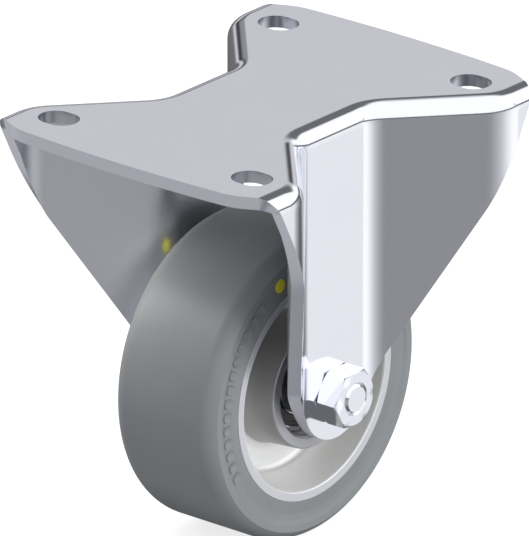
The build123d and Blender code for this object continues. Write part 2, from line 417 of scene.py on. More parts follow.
@dataclass(frozen=True)
class CastAluminium(Finish):
    """Die-cast aluminium, with fine turning marks on the faces that a tool has been over."""

    name: str = "cast_aluminium"
    colour: tuple[float, float, float] = (0.83, 0.82, 0.81)
    second_colour: tuple[float, float, float] = (0.85, 0.84, 0.83)
    roughness: float = 0.38
    roughness_spread: float = 0.015
    metallic: float = 0.6
    grain: Grain = Grain(900.0, 3.0, 0.03, 0.004)
    # The web's near-white colour below is a painted highlight, standing in for its reflection of the bright
    # surroundings.
    web_highlight_colour: tuple[float, float, float] = (0.96, 0.96, 0.955)
    # The hub wall's darker colour below is painted shade inside the dish.
    hub_wall_shade_colour: tuple[float, float, float] = (0.44, 0.435, 0.43)
    turned_colour: tuple[float, float, float] = (0.66, 0.66, 0.69)
    # The hub face's darker colour below is painted shade on the hub face, which lies behind the leg.
    hub_face_shade_colour: tuple[float, float, float] = (0.48, 0.48, 0.50)
    # The lip's near-white colour below is a painted highlight along the dish mouth.
    lip_highlight_colour: tuple[float, float, float] = (0.95, 0.95, 0.96)
    turned_from: float = 19.3
    turned_blend: float = 0.2
    hub_to: float = 21.0
    hub_wall_to: float = 23.0
    web_to: float = 5.0
    cast_blend: float = 1.0
    lip_radii: tuple[float, float] = (33.0, 34.2)
    lip_blend: float = 0.1
    mark_pitch: float = 0.35
    mark_height: float = 0.6

    def past(self, chain: NodeChain, measure: bpy.types.NodeSocket, start: float, blend: float,
             before: float = 0.0) -> bpy.types.NodeSocket:
        """Gives 1 past a start and 0 before it, or the other way round where before is 1; both in millimetres."""
        return chain.remap(measure, start * MM, (start + blend) * MM, before, 1.0 - before)

    def dress(self, chain: NodeChain, shader: bpy.types.Node, where: bpy.types.NodeSocket) -> None:
        """Adds the turned faces with their marks, a painted highlight on the lip, painted shade on the hub face and
        hub wall, a painted highlight on the web, and the cast grain inside the dish.

        Args:
            chain: The material's nodes.
            shader: The shader to dress.
            where: Object coordinates.
        """
        chain.link(self.speckled(chain, where), shader.inputs["Roughness"])
        split = chain.split(where)
        across = chain.math("ABSOLUTE", split.outputs["X"])
        up = chain.math("SUBTRACT", split.outputs["Z"], AXLE.z)
        square = chain.math("ADD", chain.math("MULTIPLY", up, up),
                            chain.math("MULTIPLY", split.outputs["Y"], split.outputs["Y"]))
        radius = chain.math("SQRT", square)
        hub_wall = self.past(chain, radius, self.hub_wall_to, self.cast_blend, 1.0)
        web = self.past(chain, across, self.web_to, self.cast_blend, 1.0)
        # cast carries the dish's cast tone, with painted shade on the hub wall and a painted highlight on the web.
        cast = chain.mix(hub_wall, self.clouded(chain, where), self.hub_wall_shade_colour)
        # Near-white web: painted highlight.
        cast = chain.mix(web, cast, self.web_highlight_colour)
        inner, outer = self.lip_radii
        # Bright lip ring: painted highlight.
        lip = chain.math("MULTIPLY", self.past(chain, radius, inner, self.lip_blend),
                         self.past(chain, radius, outer, self.lip_blend, 1.0))
        # Darker hub face: painted shade.
        hub = self.past(chain, radius, self.hub_to, self.cast_blend, 1.0)
        machined_tone_and_painted_light = chain.mix(lip, chain.mix(hub, self.turned_colour, self.hub_face_shade_colour), self.lip_highlight_colour)
        turned = self.past(chain, across, self.turned_from, self.turned_blend)
        chain.link(chain.mix(turned, cast, machined_tone_and_painted_light), shader.inputs["Base Color"])
        rings = chain.math("SINE", chain.math("MULTIPLY", radius, 2 * math.pi / (self.mark_pitch * MM)))
        marks = chain.math("MULTIPLY", rings, chain.math("MULTIPLY", turned, self.mark_height))
        grain = chain.noise(where, self.grain.scale, self.grain.layers)
        self.emboss(chain, shader, chain.math("ADD", marks, grain))


@dataclass(frozen=True)
class TyreRubber(Finish):
    """Grey non-marking rubber with a fine moulded grain."""

    name: str = "tyre_rubber"
    colour: tuple[float, float, float] = (0.225, 0.235, 0.24)
    second_colour: tuple[float, float, float] = (0.245, 0.254, 0.258)
    roughness: float = 0.40
    roughness_spread: float = 0.06
    grain: Grain = Grain(2400.0, 4.0, 0.3, 0.03)


@dataclass(frozen=True)
class SealRubber(Finish):
    """Black rubber of the bearings' seals, with a slight moulded grain."""

    name: str = "seal_rubber"
    colour: tuple[float, float, float] = (0.12, 0.122, 0.105)
    second_colour: tuple[float, float, float] = (0.14, 0.142, 0.125)
    roughness: float = 0.5
    roughness_spread: float = 0.06
    grain: Grain = Grain(3000.0, 3.0, 0.2, 0.02)


@dataclass(frozen=True)
class CagePlastic(Finish):
    """Pale glass-filled plastic of the ball cages, with its fibres' fine grain."""

    name: str = "cage_plastic"
    colour: tuple[float, float, float] = (0.55, 0.5, 0.4)
    second_colour: tuple[float, float, float] = (0.6, 0.55, 0.45)
    roughness: float = 0.45
    roughness_spread: float = 0.06
    grain: Grain = Grain(2600.0, 3.0, 0.2, 0.02)


@dataclass(frozen=True)
class MarkerYellow(Finish):
    """Yellow moulded marker, with a slight grain."""

    name: str = "marker_yellow"
    colour: tuple[float, float, float] = (0.88, 0.80, 0.04)
    second_colour: tuple[float, float, float] = (0.80, 0.73, 0.04)
    roughness: float = 0.5
    roughness_spread: float = 0.06
    grain: Grain = Grain(3000.0, 3.0, 0.2, 0.02)


FINISHES = {
    "zinc_plated_steel": BrightZinc(),
    "bearing_steel": BearingSteel(),
    "cast_aluminium": CastAluminium(),
    "tyre_rubber": TyreRubber(),
    "seal_rubber": SealRubber(),
    "cage_plastic": CagePlastic(),
    "marker_paint": MarkerYellow(),
}


class Workshop:
    """Holds the made materials and dresses pieces and CAD nodes with them."""

    def __init__(self) -> None:
        """Makes one material for each of the record's slots."""
        self.materials = {slot: finish.build() for slot, finish in FINISHES.items()}

    def dress(self, piece: bpy.types.Object, slot: str) -> None:
        """Gives a piece the one material of a slot."""
        piece.data.materials.clear()
        piece.data.materials.append(self.materials[slot])

    def deliver(self, piece: bpy.types.Object, slot: str, body: Body, *nodes: str) -> None:
        """Dresses a piece, mounts it on its body and lets it stand for CAD nodes.

        Args:
            piece: The finished piece.
            slot: The record's material slot of its finish.
            body: The body that it rides on.
            nodes: The CAD nodes that it stands for.
        """
        self.dress(piece, slot)
        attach(piece, body.value)
        if nodes:
            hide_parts(*nodes)
        log.info("%s: %d faces in %s, on %s", piece.name, len(piece.data.polygons), slot, body.value)

    def dress_nodes(self, record: dict) -> None:
        """Dresses each CAD node that stays with the finish of its slot.

        Args:
            record: The part's record, which names each node's slot.
        """
        for part in record["subparts"]:
            node = frame["nodes"][part["node"]]
            if not node.hide_render:
                self.dress(node, part["material_slot"])
                log.info("%s: CAD solid in %s", node.name, part["material_slot"])


class Workpiece:
    """A mesh being made: it is drawn, shaped in edit mode and finished with applied modifiers."""

    sharp_angle: ClassVar[float] = 40.0
    smooth_angle: ClassVar[float] = 38.0

    def __init__(self, name: str) -> None:
        """Starts a piece from a small plane.

        Args:
            name: The piece's name.
        """
        bpy.ops.object.select_all(action="DESELECT")
        bpy.ops.mesh.primitive_plane_add(size=MM)
        self.obj = bpy.context.object
        self.obj.name = self.obj.data.name = name

    def take_up(self) -> None:
        """Selects this piece alone and makes it the active one."""
        bpy.ops.object.select_all(action="DESELECT")
        self.obj.select_set(True)
        bpy.context.view_layer.objects.active = self.obj

    @contextmanager
    def editing(self) -> Iterator[None]:
        """Holds edit mode on this piece alone."""
        self.take_up()
        bpy.ops.object.mode_set(mode="EDIT")
        bpy.ops.mesh.select_mode(type="VERT")
        yield
        bpy.ops.object.mode_set(mode="OBJECT")

    def pick(self, kind: str, test: Callable[[list[Vector]], bool]) -> None:
        """Selects, in edit mode, only what passes a test.

        Args:
            kind: VERT, EDGE or FACE.
            test: Takes the element's corner points, in millimetres.
        """
        bpy.ops.mesh.select_mode(type=kind)
        bpy.ops.mesh.select_all(action="DESELECT")
        mesh = bmesh.from_edit_mesh(self.obj.data)
        elements = {"VERT": mesh.verts, "EDGE": mesh.edges, "FACE": mesh.faces}[kind]
        for element in elements:
            corners = [element.co] if kind == "VERT" else [corner.co for corner in element.verts]
            element.select_set(test([corner / MM for corner in corners]))
        mesh.select_flush_mode()
        bmesh.update_edit_mesh(self.obj.data)

    def weld(self) -> None:
        """Joins, in edit mode, points that meet, and turns all faces outwards."""
        bpy.ops.mesh.select_all(action="SELECT")
        bpy.ops.mesh.remove_doubles(threshold=WELD)
        bpy.ops.mesh.normals_make_consistent(inside=False)

    def draw(self, points: Sequence[Vector], closed: bool = False) -> "Workpiece":
        """Draws the plane together into one point and runs a line from it.

        Args:
            points: The line's points.
            closed: Whether the line comes back to its start.

        Returns:
            This piece.
        """
        with self.editing():
            bpy.ops.mesh.select_all(action="SELECT")
            bpy.ops.mesh.merge(type="CENTER")
            bpy.ops.transform.translate(value=points[0])
            route = [*points, points[0]] if closed else list(points)
            self.run_on(route)
            bpy.ops.mesh.select_all(action="SELECT")
            bpy.ops.mesh.remove_doubles(threshold=WELD)
        return self

    def run_on(self, route: Sequence[Vector]) -> None:
        """Extrudes, in edit mode, the selected point at the route's start along the route."""
        for start, end in zip(route, route[1:]):
            bpy.ops.mesh.extrude_region_move(TRANSFORM_OT_translate={"value": end - start})

    def turn(self, section: Sequence[tuple[float, float]], steps: int, closed: bool = True) -> "Workpiece":
        """Spins a section about the axle.

        Args:
            section: Its points as (place along the axle, radius), in millimetres.
            steps: How many pieces the turn has.
            closed: Whether the section is a ring's, and not one that ends on the axle.

        Returns:
            This piece.
        """
        self.draw([round_axle(x, radius) for x, radius in section], closed)
        with self.editing():
            bpy.ops.mesh.select_all(action="SELECT")
            bpy.ops.mesh.spin(steps=steps, angle=2 * math.pi, center=AXLE, axis=(1, 0, 0))
            self.weld()
        return self

    def prism(self, outline: Sequence[Vector], rise: Vector) -> "Workpiece":
        """Makes a solid of an outline that is drawn closed, filled and raised.

        Args:
            outline: The outline's points, in one plane.
            rise: The way from it to the solid's other end.

        Returns:
            This piece.
        """
        self.draw(outline, closed=True)
        with self.editing():
            bpy.ops.mesh.select_all(action="SELECT")
            bpy.ops.mesh.edge_face_add()
            bpy.ops.mesh.extrude_region_move(TRANSFORM_OT_translate={"value": rise})
            self.weld()
        return self

    def modify(self, kind: str, **settings: object) -> None:
        """Adds a modifier, sets it and applies it.

        Args:
            kind: The modifier's type.
            settings: Attributes to set on it.
        """
        modifier = self.obj.modifiers.new(kind.lower(), kind)
        for name, value in settings.items():
            setattr(modifier, name, value)
        self.take_up()
        bpy.ops.object.modifier_apply(modifier=modifier.name)

    def shape(self, tool: "Workpiece", operation: str = "DIFFERENCE") -> None:
        """Cuts the piece with another, which is used up.

        Args:
            tool: The piece that cuts.
            operation: The Boolean modifier's operation.
        """
        self.modify("BOOLEAN", object=tool.obj, operation=operation, solver="EXACT")
        bpy.data.objects.remove(tool.obj)

    def finish(self, edge: float = 0.0, segments: int = 2) -> bpy.types.Object:
        """Breaks the sharp edges and shades the piece.

        Args:
            edge: Width of the broken edges in millimetres, or 0 for none.
            segments: How many faces go across each of them.

        Returns:
            The finished object.
        """
        if edge:
            self.modify("BEVEL", width=edge * MM, segments=segments, limit_method="ANGLE",
                        angle_limit=math.radians(self.sharp_angle), use_clamp_overlap=True)
        self.take_up()
        bpy.ops.object.shade_smooth_by_angle(angle=math.radians(self.smooth_angle))
        self.modify("WEIGHTED_NORMAL", keep_sharp=True, weight=60)
        return self.obj


class Skin(Enum):
    """The sheet's surfaces, by the material index that tells them apart while the bracket is made."""

    OUTER = 0
    SHEARED = 1
    INNER = 2


@dataclass
class PressedBracket:
    """The one-piece bracket: a slotted plate whose sides are bent down into two waisted legs."""

    half_length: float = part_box("bracket")[1].y / MM
    flange_x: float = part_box("bracket")[1].x / MM
    axle_drop: float = -AXLE.z / MM
    sheet: float = 4.0
    bend_radius: float = 6.0
    leg_outer_x: float = 28.3
    waist_fold_y: float = 17.2
    wing_angle: float = 42.0
    waist_radius: float = 12.0
    flange_radius: float = 17.0
    leg_edge_setback: float = 6.9
    foot_radius: float = 15.0
    corner_run: float = 7.0
    corner_radius: float = 20.0
    slot_x: float = 77.5 / 2
    slot_y: float = 105.0 / 2
    slot_size: tuple[float, float] = (13.5, 11.0)
    axle_hole: float = 10.2
    broken_edge: float = 0.3
    bend_segments: int = 12
    foot_cuts: int = 16
    drill_steps: int = 64
    slot_margin: float = 0.5

    def __post_init__(self) -> None:
        """Works out the leg's lean, as the line from the plate's edge that grazes the foot's round."""
        self.leg_top_y = self.half_length - self.leg_edge_setback
        reach = math.hypot(self.leg_top_y, self.axle_drop)
        self.lean = math.atan2(self.leg_top_y, self.axle_drop) - math.asin(self.foot_radius / reach)
        self.lean_slope = math.tan(self.lean)
        self.bend_start = Vector((
            self.flange_x - self.bend_radius,
            self.leg_top_y + self.bend_radius * (math.pi / 2 - 1) * self.lean_slope,
        ))

    def wall_line(self) -> list[Vector]:
        """Lays out a quarter of the bracket's outline in plan.

        Returns:
            The points, from the waist's middle to the corner.
        """
        fold_y = self.waist_fold_y + (self.flange_x - self.leg_outer_x) / math.tan(math.radians(self.wing_angle))
        corners = [
            (self.leg_outer_x, 0.0),
            (self.leg_outer_x, self.waist_fold_y, self.waist_radius),
            (self.flange_x, fold_y, self.flange_radius),
            (self.flange_x, self.leg_top_y),
        ]
        return [place(x, y, 0.0) for x, y in rounded(corners, step=3.0)]

    def end_line(self) -> list[Vector]:
        """Lays out the quarter's bowed end.

        Returns:
            The points, from the corner to the middle of the plate's end.
        """
        corner = Vector((self.bend_start.x - self.corner_run, self.bend_start.y + self.corner_run * self.lean_slope))
        bow = self.half_length - corner.y
        radius = (corner.x ** 2 + bow ** 2) / (2 * bow)
        ends = [(x, self.half_length - radius + math.sqrt(radius ** 2 - x ** 2))
                for x in (corner.x * share for share in (0.8, 0.64, 0.48, 0.32, 0.16, 0.0))]
        line = rounded([
            (self.flange_x, self.leg_top_y), tuple(self.bend_start), (corner.x, corner.y, self.corner_radius), *ends,
        ], step=3.0)
        return [place(x, y, 0.0) for x, y in line]

    def trim_wall(self) -> None:
        """Cuts the wall, in edit mode, along its leaning edge and round its foot."""
        cuts = [(place(0, self.leg_top_y, 0), self.lean)]
        for index in range(1, self.foot_cuts + 1):
            slope = self.lean + (math.pi / 2 - self.lean) * index / self.foot_cuts
            touch = Vector((0, math.cos(slope), -math.sin(slope))) * self.foot_radius * MM
            cuts.append((AXLE + touch, slope))
        for touch, slope in cuts:
            bpy.ops.mesh.select_all(action="SELECT")
            bpy.ops.mesh.bisect(plane_co=touch, plane_no=(0, math.cos(slope), -math.sin(slope)),
                                clear_outer=True, threshold=WELD / 4)

    def build_skin(self) -> Workpiece:
        """Models a quarter of the bracket's outer skin: wall, plate, and the bend between them.

        Returns:
            The piece.
        """
        work = Workpiece("pressed_bracket")
        wall, end = self.wall_line(), self.end_line()
        depth = self.axle_drop + self.foot_radius + 1
        work.draw(wall)
        with work.editing():
            bpy.ops.mesh.select_all(action="SELECT")
            bpy.ops.mesh.extrude_region_move(TRANSFORM_OT_translate={"value": place(0, 0, -depth)})
            self.trim_wall()
            work.pick("VERT", lambda at: (at[0] - wall[-1] / MM).length < NEAR)
            work.run_on([*end, place(0, 0, 0), wall[0]])
            bpy.ops.mesh.select_all(action="SELECT")
            bpy.ops.mesh.remove_doubles(threshold=WELD)
            work.pick("EDGE", lambda at: all(abs(point.z) < NEAR for point in at))
            bpy.ops.mesh.edge_face_add()
            work.weld()
            work.pick("EDGE", lambda at: all(
                any((point - stop / MM).length < 10 * NEAR for stop in wall) for point in at))
            bpy.ops.mesh.bevel(offset=self.bend_radius * MM, segments=self.bend_segments, profile=0.5,
                               clamp_overlap=False)
            work.weld()
        plate = max(work.obj.data.polygons, key=lambda face: face.area)
        if plate.normal.z < 0:
            with work.editing():
                bpy.ops.mesh.select_all(action="SELECT")
                bpy.ops.mesh.flip_normals()
        return work

    def slot_tool(self, side_x: int, side_y: int) -> Workpiece:
        """Makes the punch of one plate slot.

        Args:
            side_x: 1 for a slot at +X, or -1.
            side_y: 1 for a slot at +Y, or -1.

        Returns:
            The punch, a little longer than the plate is thick.
        """
        half_x, half_y = self.slot_size[0] / 2, self.slot_size[1] / 2
        corners = [(x * half_x, y * half_y, half_y - NEAR) for x, y in ((1, 1), (-1, 1), (-1, -1), (1, -1))]
        outline = [place(side_x * self.slot_x + x, side_y * self.slot_y + y, 1.0)
                   for x, y in rounded(corners, closed=True, step=5.0)]
        return Workpiece("slot_punch").prism(outline, place(0, 0, -self.sheet - 2))

    def build(self, shop: Workshop) -> None:
        """Makes the bracket and mounts it.

        Args:
            shop: Where its finish comes from.
        """
        work = self.build_skin()
        work.modify("MIRROR", use_axis=(True, True, False), merge_threshold=0.01 * MM)
        sheared = bpy.data.materials.new("sheared_mark")
        for _ in Skin:
            work.obj.data.materials.append(sheared)
        work.modify("SOLIDIFY", thickness=self.sheet * MM, offset=-1.0, use_even_offset=True,
                    material_offset_rim=Skin.SHEARED.value, material_offset=Skin.INNER.value)
        for side_x in (1, -1):
            for side_y in (1, -1):
                punch = self.slot_tool(side_x, side_y)
                for _ in range(Skin.SHEARED.value + 1):
                    punch.obj.data.materials.append(sheared)
                faces = punch.obj.data.polygons
                faces.foreach_set("material_index", [Skin.SHEARED.value] * len(faces))
                work.shape(punch)
        reach = self.flange_x
        drill = [(-reach, 0.0), (-reach, self.axle_hole / 2), (reach, self.axle_hole / 2), (reach, 0.0)]
        work.shape(Workpiece("axle_drill").turn(drill, self.drill_steps, closed=False))
        piece = work.finish(self.broken_edge)
        self.mark_sheared(piece)
        shop.deliver(piece, "zinc_plated_steel", Body.BRACKET, "bracket")
        bpy.data.materials.remove(sheared)

    def in_slot(self, at: Vector) -> bool:
        """Tells whether a point lies in a punched slot.

        Args:
            at: The point, in millimetres.

        Returns:
            True in a slot or just past its edge.
        """
        half_x, half_y = (size / 2 + self.slot_margin for size in self.slot_size)
        return (abs(abs(at.x) - self.slot_x) < half_x and abs(abs(at.y) - self.slot_y) < half_y
                and at.z > -self.sheet - self.slot_margin)

    def mark_sheared(self, piece: bpy.types.Object) -> None:
        """Turns the faces' material index into the attributes that the finish reads.

        Args:
            piece: The bracket.
        """
        faces = piece.data.polygons
        sheared = [face.material_index == Skin.SHEARED.value for face in faces]
        punched = [cut and self.in_slot(face.center / MM) for cut, face in zip(sheared, faces)]
        inner = [face.material_index == Skin.INNER.value for face in faces]
        for name, marks in (("sheared", sheared), ("punched", punched), ("inner", inner)):
            attribute = piece.data.attributes.new(name, "FLOAT", "FACE")
            attribute.data.foreach_set("value", [float(marked) for marked in marks])
        piece.data.polygons.foreach_set("material_index", [Skin.OUTER.value] * len(piece.data.polygons))


@dataclass
class AxleSet:
    """The axle bolt with its head on the left leg, and the nut on the right one."""

    leg_x: float = 28.3
    across_flats: float = 17.0
    nut_height: float = 8.0
    head_height: float = 6.4
    thread_radius: float = 5.0
    thread_pitch: float = 1.5
    thread_depth: float = 0.85
    thread_length: float = 16.0
    thread_start: float = 1.0
    thread_steps: tuple[float, float, float] = (0.2, 0.75, 0.95)
    crest_gap: float = 0.02
    end_round: tuple[float, float, float] = (4.1, 0.7, 4.8)
    past_nut: float = 0.5
    mouth_depth: float = 0.5
    seat_overlap: float = 1.0
    round_steps: int = 64
    mould_steps: int = 96
    mould_margin: float = 0.2
    hexagon_spare: float = 2.0

    def hexagon(self, name: str, start: float, height: float, both: bool) -> Workpiece:
        """Models a hexagon whose corners are turned off.

        Args:
            name: The piece's name.
            start: Place of its seat along the axle.
            height: Its height, below zero where it points to -X.
            both: Whether the seat's corners are turned off too.

        Returns:
            The piece.
        """
        corner = self.across_flats / 2 / math.cos(math.pi / 6)
        fall = math.copysign((corner - self.across_flats / 2) * math.tan(math.pi / 6), height)
        outline = [round_axle(start - math.copysign(1, height), corner, 90 + 60 * index) for index in range(6)]
        work = Workpiece(name).prism(outline, place(height + math.copysign(self.hexagon_spare, height), 0, 0))
        end = start + height
        seat = [(start, self.across_flats / 2), (start + fall, corner)] if both else [(start, corner)]
        outside = corner + self.mould_margin
        mould = [(start, 0.0), *seat, (start + fall, outside), (end - fall, outside),
                 (end - fall, corner), (end, self.across_flats / 2), (end, 0.0)]
        work.shape(Workpiece("hexagon_mould").turn(mould, self.mould_steps, closed=False), "INTERSECT")
        return work

    def build(self, shop: Workshop) -> None:
        """Makes the bolt and the nut, and mounts them.

        Args:
            shop: Where their finish comes from.
        """
        end = self.leg_x + self.nut_height + self.past_nut
        crest = self.thread_radius - self.crest_gap
        root = self.thread_radius - self.thread_depth
        crest_end, root_start, root_end = self.thread_steps
        turns = int(self.thread_length / self.thread_pitch)
        thread = []
        for index in range(turns):
            x = end - self.thread_start - index * self.thread_pitch
            thread += [(x, crest), (x - crest_end, crest), (x - root_start, root), (x - root_end, root)]
        shank_end = end - self.thread_start - turns * self.thread_pitch
        face_radius, round_depth, round_radius = self.end_round
        inside_head = -self.leg_x - self.seat_overlap
        section = [(end, 0.0), (end, face_radius), (end - round_depth, round_radius), *thread,
                   (shank_end, crest), (inside_head, crest), (inside_head, 0.0)]
        bolt = self.hexagon("hex_head_bolt", -self.leg_x, -self.head_height, both=False)
        bolt.shape(Workpiece("bolt_shank").turn(section, self.round_steps, closed=False), "UNION")
        shop.deliver(bolt.finish(), "zinc_plated_steel", Body.BRACKET, "axle_bolt")

        nut = self.hexagon("hex_nut", self.leg_x, self.nut_height, both=True)
        face = self.leg_x + self.nut_height
        bore = [(self.leg_x - 1, 0.0), (self.leg_x - 1, self.thread_radius),
                (face - self.mouth_depth, self.thread_radius),
                (face + 0.1, self.thread_radius + self.mouth_depth), (face + 0.1, 0.0)]
        nut.shape(Workpiece("nut_bore").turn(bore, self.round_steps, closed=False))
        shop.deliver(nut.finish(), "zinc_plated_steel", Body.BRACKET, "axle_nut")


@dataclass
class BallBearing:
    """One bearing's visible outer seal, moulded with a raised rib. Its other parts stay as they are."""

    side: Side
    inner_radius: float = 10.52
    outer_radius: float = 14.18
    seal_x: tuple[float, float] = (13.5, 14.3)
    lip_radius: float = 11.3
    lip_step: float = 0.25
    groove_step: float = 0.45
    rim_step: float = 0.3
    groove: tuple[float, float] = (11.5, 12.7)
    rib: tuple[float, float] = (12.9, 13.6)
    corner: float = 0.1
    rib_corner: float = 0.15
    round_steps: int = 96

    def build(self, shop: Workshop) -> None:
        """Makes the seal and mounts it.

        Args:
            shop: Where its finish comes from.
        """
        low, high = self.seal_x
        lip, groove = high - self.lip_step, high - self.groove_step
        section = rounded([
            (low, self.inner_radius), (lip, self.inner_radius, self.corner), (lip, self.lip_radius, self.corner),
            (groove, self.groove[0], self.corner), (groove, self.groove[1], self.corner),
            (high, self.rib[0], self.corner), (high, self.rib[1], self.rib_corner),
            (high - self.rim_step, self.outer_radius, self.corner), (low, self.outer_radius),
        ], step=30)
        side = self.side.name.lower()
        section = [(self.side.value * x, radius) for x, radius in section]
        work = Workpiece(f"{side}_ribbed_seal").turn(section, self.round_steps)
        shop.deliver(work.finish(), "seal_rubber", Body.WHEEL, f"{side}_bearing_outer_seal")


@dataclass
class Wheel:
    """The wheel: a turned casting, its moulded tyre, and the marker dots and raised rings on the sidewalls."""

    half_width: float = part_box("tyre")[1].x / MM
    radius: float = (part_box("tyre")[1].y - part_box("tyre")[0].y) / 2 / MM
    rim_radius: float = 36.75
    rim_band: float = 2.95
    key_depth: float = 1.5
    key_x: float = 11.0
    dish_draft: float = 10.0
    web_half: float = 4.0
    web_fillet: float = 3.5
    hub_radius: float = 20.2
    hub_draft: float = 4.0
    bearing_radius: float = 16.0
    bearing_inner_x: float = 5.5
    bore_chamfer: float = 0.8
    land_radius: float = 14.0
    shoulder_radius: float = 5.0
    crown_radius: float = 6.5
    crown_turn: float = 60.0
    crown_pieces: int = 8
    band_inner_margin: float = 1.8
    band_outer_margin: float = 0.4
    band_depth: float = 0.5
    dot_radius: float = 2.25
    dot_turn: float = 113.0
    dot_proud: float = 0.25
    dot_rim: float = 0.4
    dot_crown: tuple[tuple[float, float], ...] = ((0.2, 0.3), (0.5, 0.2), (0.8, 0.1))
    pocket_depth: float = 0.75
    punch_reach: float = 2.0
    ring_count: int = 14
    ring_turn: float = 38.0
    ring_pitch: float = 6.1
    ring_width: float = 3.0
    ring_length: float = 3.8
    ring_corner: float = 1.2
    ring_stroke: float = 0.9
    ring_proud: float = 0.47
    ring_root: float = 0.3
    ring_sink: float = 0.9
    ring_edge: float = 0.08
    centre_steps: int = 160
    tyre_steps: int = 192

    def __post_init__(self) -> None:
        """Works out the key's radius and where the sunk sidewall bands lie."""
        self.key_radius = self.rim_radius - self.key_depth
        self.band_inner = self.rim_radius + self.band_inner_margin
        self.band_outer = self.radius - self.shoulder_radius - self.band_outer_margin
        self.band_middle = (self.band_inner + self.band_outer) / 2
        self.band_x = self.half_width - self.band_depth

    def mirrored(self, half: list[tuple[float, float]]) -> list[tuple[float, float]]:
        """Completes a section from its half at +X, which starts and ends on the middle."""
        inner = [(-x, radius) for x, radius in reversed(half) if x > NEAR]
        return half + inner

    def build_centre(self, shop: Workshop) -> None:
        """Makes the casting: bearing seats, hub, web, dish and rim.

        Args:
            shop: Where its finish comes from.
        """
        run = self.half_width - self.web_half
        mouth = self.rim_radius - self.rim_band
        root = mouth - run * math.tan(math.radians(self.dish_draft))
        hub_root = self.hub_radius + run * math.tan(math.radians(self.hub_draft))
        half = rounded([
            (0.0, self.land_radius),
            (self.bearing_inner_x, self.land_radius),
            (self.bearing_inner_x, self.bearing_radius),
            (self.half_width - self.bore_chamfer, self.bearing_radius),
            (self.half_width, self.bearing_radius + self.bore_chamfer),
            (self.half_width, self.hub_radius - 0.2, 0.5),
            (self.web_half, hub_root, self.web_fillet),
            (self.web_half, root, self.web_fillet),
            (self.half_width - 0.45, mouth - 0.08),
            (self.half_width, mouth + 0.37),
            (self.half_width, self.rim_radius),
            (self.key_x + self.key_depth, self.rim_radius),
            (self.key_x, self.key_radius),
            (0.0, self.key_radius),
        ], step=10)
        work = Workpiece("turned_wheel_centre").turn(self.mirrored(half), self.centre_steps)
        shop.deliver(work.finish(), "cast_aluminium", Body.WHEEL, "wheel_centre")

    def crown_point(self, angle: float) -> tuple[float, float]:
        """Gives the point of the tread's round at an angle in radians from the tread's top."""
        start = self.half_width - self.crown_radius * math.sin(math.radians(self.crown_turn))
        return start + self.crown_radius * math.sin(angle), self.radius - self.crown_radius * (1 - math.cos(angle))

    def dot_outline(self, x: float) -> list[Vector]:
        """Lays out a marker dot's circle.

        Args:
            x: Its place along the axle.

        Returns:
            The circle's points.
        """
        seat = round_axle(x, self.band_middle, 90 - self.dot_turn)
        angles = [math.radians(turn) for turn in range(0, 360, 10)]
        return [seat + place(0, self.dot_radius * math.sin(a), self.dot_radius * math.cos(a)) for a in angles]

    def build_tyre(self, shop: Workshop) -> None:
        """Makes the tyre, with its sunk sidewall bands and the pockets of the marker dots.

        Args:
            shop: Where its finish comes from.
        """
        crown = math.radians(self.crown_turn)
        half = rounded([
            (0.0, self.key_radius),
            (self.key_x, self.key_radius),
            (self.key_x + self.key_depth, self.rim_radius),
            (self.half_width - 0.15, self.rim_radius + 0.02),
            (self.half_width, self.rim_radius + 0.2),
            (self.half_width, self.rim_radius + 0.5, 0.25),
            (self.band_x, self.band_inner + 2.4, 5.0),
            (self.band_x, self.band_outer - 3 * self.band_depth, 2.0),
            (self.half_width, self.band_outer, 0.3),
            (self.half_width, self.radius - self.crown_radius * (1 - math.cos(crown)), 0.35),
            *(self.crown_point(crown * (1 - index / self.crown_pieces)) for index in range(1, self.crown_pieces + 1)),
            (0.0, self.radius),
        ], step=8)
        work = Workpiece("moulded_tyre").turn(self.mirrored(half), self.tyre_steps)
        for side in Side:
            outline = self.dot_outline(side.value * (self.band_x + self.punch_reach))
            cut = place(-side.value * (self.punch_reach + self.pocket_depth), 0, 0)
            work.shape(Workpiece("dot_punch").prism(outline, cut))
        shop.deliver(work.finish(), "tyre_rubber", Body.WHEEL, "tyre")

    def pick_face(self, work: Workpiece, x: float) -> None:
        """Selects, in edit mode, the faces that lie flat at a place along the axle."""
        work.pick("FACE", lambda at: all(abs(point.x - x) < NEAR for point in at))

    def build_dot(self, shop: Workshop, side: Side) -> None:
        """Makes one crowned marker dot in its pocket.

        Args:
            shop: Where its finish comes from.
            side: The sidewall that it sits in.
        """
        sign, name = side.value, side.name.lower()
        edge = self.dot_proud * self.dot_rim
        work = Workpiece(f"{name}_marker").prism(
            self.dot_outline(sign * (self.band_x - self.pocket_depth)), place(sign * (self.pocket_depth + edge), 0, 0))
        with work.editing():
            self.pick_face(work, sign * (self.band_x + edge))
            for inset, rise in self.dot_crown:
                bpy.ops.mesh.inset(thickness=inset * MM)
                bpy.ops.transform.translate(value=place(sign * self.dot_proud * rise, 0, 0))
        shop.deliver(work.finish(), "marker_paint", Body.WHEEL, f"{name}_marker_dot")

